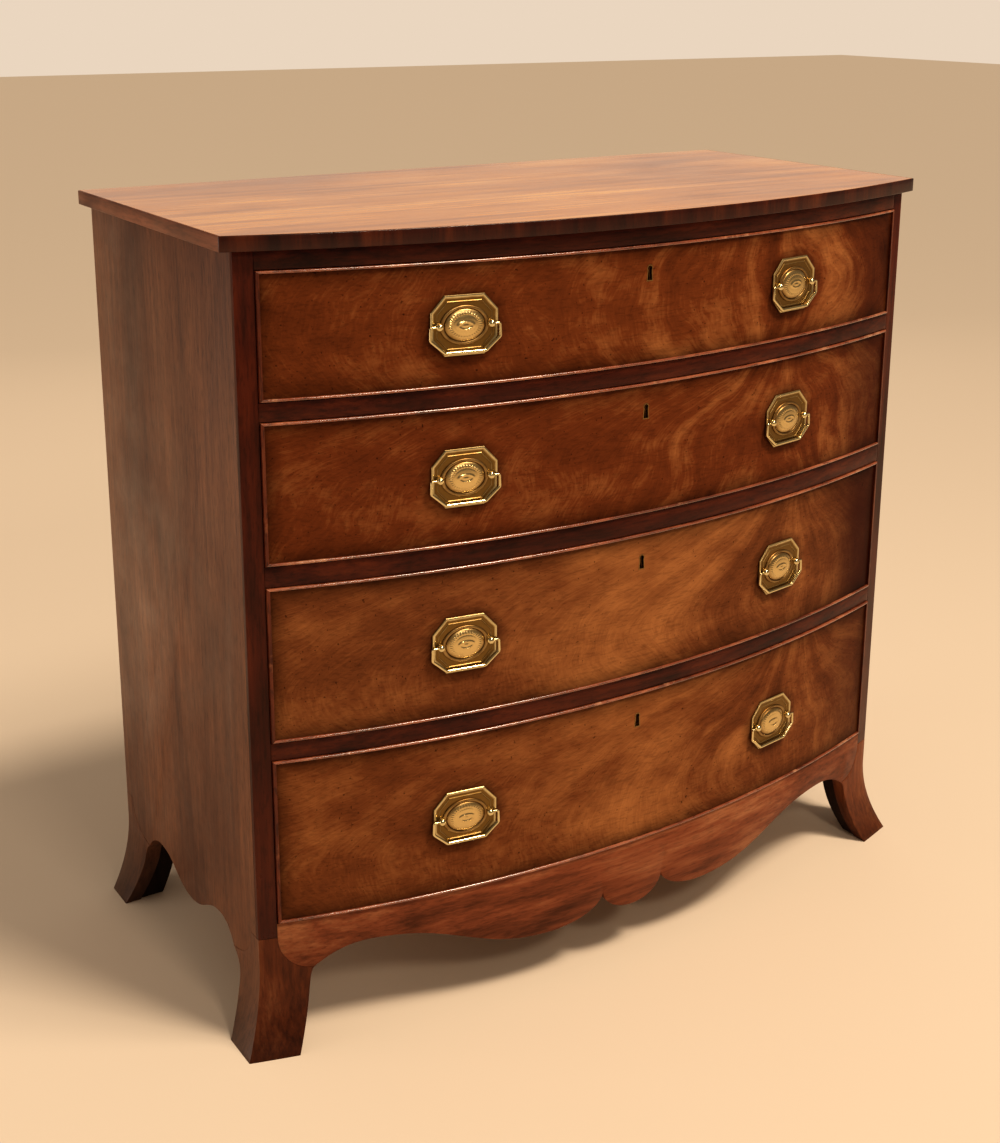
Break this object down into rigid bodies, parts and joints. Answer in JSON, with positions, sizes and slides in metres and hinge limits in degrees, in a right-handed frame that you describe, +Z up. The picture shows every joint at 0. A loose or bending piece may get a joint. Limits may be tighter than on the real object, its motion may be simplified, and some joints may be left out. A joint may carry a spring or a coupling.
{
  "type": "bow front chest of drawers",
  "caption": "Bow front mahogany chest with graduated drawers, octagonal brass plates with hanging bails, locks, a shaped apron and splayed bracket feet.",
  "frame": {"origin": "On the floor, under the middle of the chest's overall box.", "axes": "+X to the right seen from the front, +Y to the back (the bowed front faces -Y), +Z up."},
  "size_m": [1.082, 0.544, 1.016],
  "materials": {
    "mahogany_top": "faded polished mahogany, grain running left to right",
    "mahogany_side": "waxed mahogany, upright grain, a little dull",
    "mahogany_front": "french polished flame mahogany veneer",
    "mahogany_rail": "polished dark mahogany",
    "mahogany_foot": "polished dark mahogany, worn at the toes",
    "oak_lining": "unfinished planed oak and pine",
    "handle_brass": "stamped and cast brass, dark in the recesses and rubbed bright on the raised parts",
    "lock_iron": "dull wrought iron"
  },
  "bodies": {
    "carcass": {"top": "mahogany_top", "back_panel": "oak_lining", "bottom_board": "oak_lining", "apron": "mahogany_foot", "top_rail": "mahogany_rail", "divider_1": "mahogany_rail", "divider_2": "mahogany_rail", "divider_3": "mahogany_rail", "side_left": "mahogany_side", "side_right": "mahogany_side", "stile_left": "mahogany_rail", "stile_right": "mahogany_rail", "front_foot_left": "mahogany_foot", "front_foot_right": "mahogany_foot", "rear_foot_left": "mahogany_foot", "rear_foot_right": "mahogany_foot"},
    "drawer_1": {"drawer_1_front": "mahogany_front", "drawer_1_side_left": "oak_lining", "drawer_1_side_right": "oak_lining", "drawer_1_back": "oak_lining", "drawer_1_bottom": "oak_lining", "drawer_1_lock": "lock_iron", "drawer_1_handle_plate_left": "handle_brass", "drawer_1_handle_plate_right": "handle_brass"},
    "drawer_2": {"drawer_2_front": "mahogany_front", "drawer_2_side_left": "oak_lining", "drawer_2_side_right": "oak_lining", "drawer_2_back": "oak_lining", "drawer_2_bottom": "oak_lining", "drawer_2_lock": "lock_iron", "drawer_2_handle_plate_left": "handle_brass", "drawer_2_handle_plate_right": "handle_brass"},
    "drawer_3": {"drawer_3_front": "mahogany_front", "drawer_3_side_left": "oak_lining", "drawer_3_side_right": "oak_lining", "drawer_3_back": "oak_lining", "drawer_3_bottom": "oak_lining", "drawer_3_lock": "lock_iron", "drawer_3_handle_plate_left": "handle_brass", "drawer_3_handle_plate_right": "handle_brass"},
    "drawer_4": {"drawer_4_front": "mahogany_front", "drawer_4_side_left": "oak_lining", "drawer_4_side_right": "oak_lining", "drawer_4_back": "oak_lining", "drawer_4_bottom": "oak_lining", "drawer_4_lock": "lock_iron", "drawer_4_handle_plate_left": "handle_brass", "drawer_4_handle_plate_right": "handle_brass"},
    "bail_1_left": {"drawer_1_bail_left": "handle_brass"},
    "bail_1_right": {"drawer_1_bail_right": "handle_brass"},
    "bail_2_left": {"drawer_2_bail_left": "handle_brass"},
    "bail_2_right": {"drawer_2_bail_right": "handle_brass"},
    "bail_3_left": {"drawer_3_bail_left": "handle_brass"},
    "bail_3_right": {"drawer_3_bail_right": "handle_brass"},
    "bail_4_left": {"drawer_4_bail_left": "handle_brass"},
    "bail_4_right": {"drawer_4_bail_right": "handle_brass"},
    "bolt_1": {"drawer_1_lock_bolt": "handle_brass"},
    "bolt_2": {"drawer_2_lock_bolt": "handle_brass"},
    "bolt_3": {"drawer_3_lock_bolt": "handle_brass"},
    "bolt_4": {"drawer_4_lock_bolt": "handle_brass"}
  },
  "joints": [
    {"name": "drawer_1_slide", "type": "slide", "parent": "carcass", "child": "drawer_1", "axis": [0, -1, 0], "range_m": [0, 0.35]},
    {"name": "drawer_2_slide", "type": "slide", "parent": "carcass", "child": "drawer_2", "axis": [0, -1, 0], "range_m": [0, 0.35]},
    {"name": "drawer_3_slide", "type": "slide", "parent": "carcass", "child": "drawer_3", "axis": [0, -1, 0], "range_m": [0, 0.35]},
    {"name": "drawer_4_slide", "type": "slide", "parent": "carcass", "child": "drawer_4", "axis": [0, -1, 0], "range_m": [0, 0.35]},
    {"name": "bail_1_left_swing", "type": "hinge", "parent": "drawer_1", "child": "bail_1_left", "pos_m": [-0.25477, -0.24714, 0.8995], "axis": [-0.9879, 0.1549, 0], "range_deg": [0, 150]},
    {"name": "bail_1_right_swing", "type": "hinge", "parent": "drawer_1", "child": "bail_1_right", "pos_m": [0.25477, -0.24714, 0.8995], "axis": [-0.9879, -0.1549, 0], "range_deg": [0, 150]},
    {"name": "bail_2_left_swing", "type": "hinge", "parent": "drawer_2", "child": "bail_2_left", "pos_m": [-0.25477, -0.24714, 0.7155], "axis": [-0.9879, 0.1549, 0], "range_deg": [0, 150]},
    {"name": "bail_2_right_swing", "type": "hinge", "parent": "drawer_2", "child": "bail_2_right", "pos_m": [0.25477, -0.24714, 0.7155], "axis": [-0.9879, -0.1549, 0], "range_deg": [0, 150]},
    {"name": "bail_3_left_swing", "type": "hinge", "parent": "drawer_3", "child": "bail_3_left", "pos_m": [-0.25477, -0.24714, 0.504], "axis": [-0.9879, 0.1549, 0], "range_deg": [0, 150]},
    {"name": "bail_3_right_swing", "type": "hinge", "parent": "drawer_3", "child": "bail_3_right", "pos_m": [0.25477, -0.24714, 0.504], "axis": [-0.9879, -0.1549, 0], "range_deg": [0, 150]},
    {"name": "bail_4_left_swing", "type": "hinge", "parent": "drawer_4", "child": "bail_4_left", "pos_m": [-0.25477, -0.24714, 0.271], "axis": [-0.9879, 0.1549, 0], "range_deg": [0, 150]},
    {"name": "bail_4_right_swing", "type": "hinge", "parent": "drawer_4", "child": "bail_4_right", "pos_m": [0.25477, -0.24714, 0.271], "axis": [-0.9879, -0.1549, 0], "range_deg": [0, 150]},
    {"name": "bolt_1_throw", "type": "slide", "parent": "drawer_1", "child": "bolt_1", "axis": [0, 0, 1], "range_m": [0, 0.008]},
    {"name": "bolt_2_throw", "type": "slide", "parent": "drawer_2", "child": "bolt_2", "axis": [0, 0, 1], "range_m": [0, 0.008]},
    {"name": "bolt_3_throw", "type": "slide", "parent": "drawer_3", "child": "bolt_3", "axis": [0, 0, 1], "range_m": [0, 0.008]},
    {"name": "bolt_4_throw", "type": "slide", "parent": "drawer_4", "child": "bolt_4", "axis": [0, 0, 1], "range_m": [0, 0.008]}
  ]
}
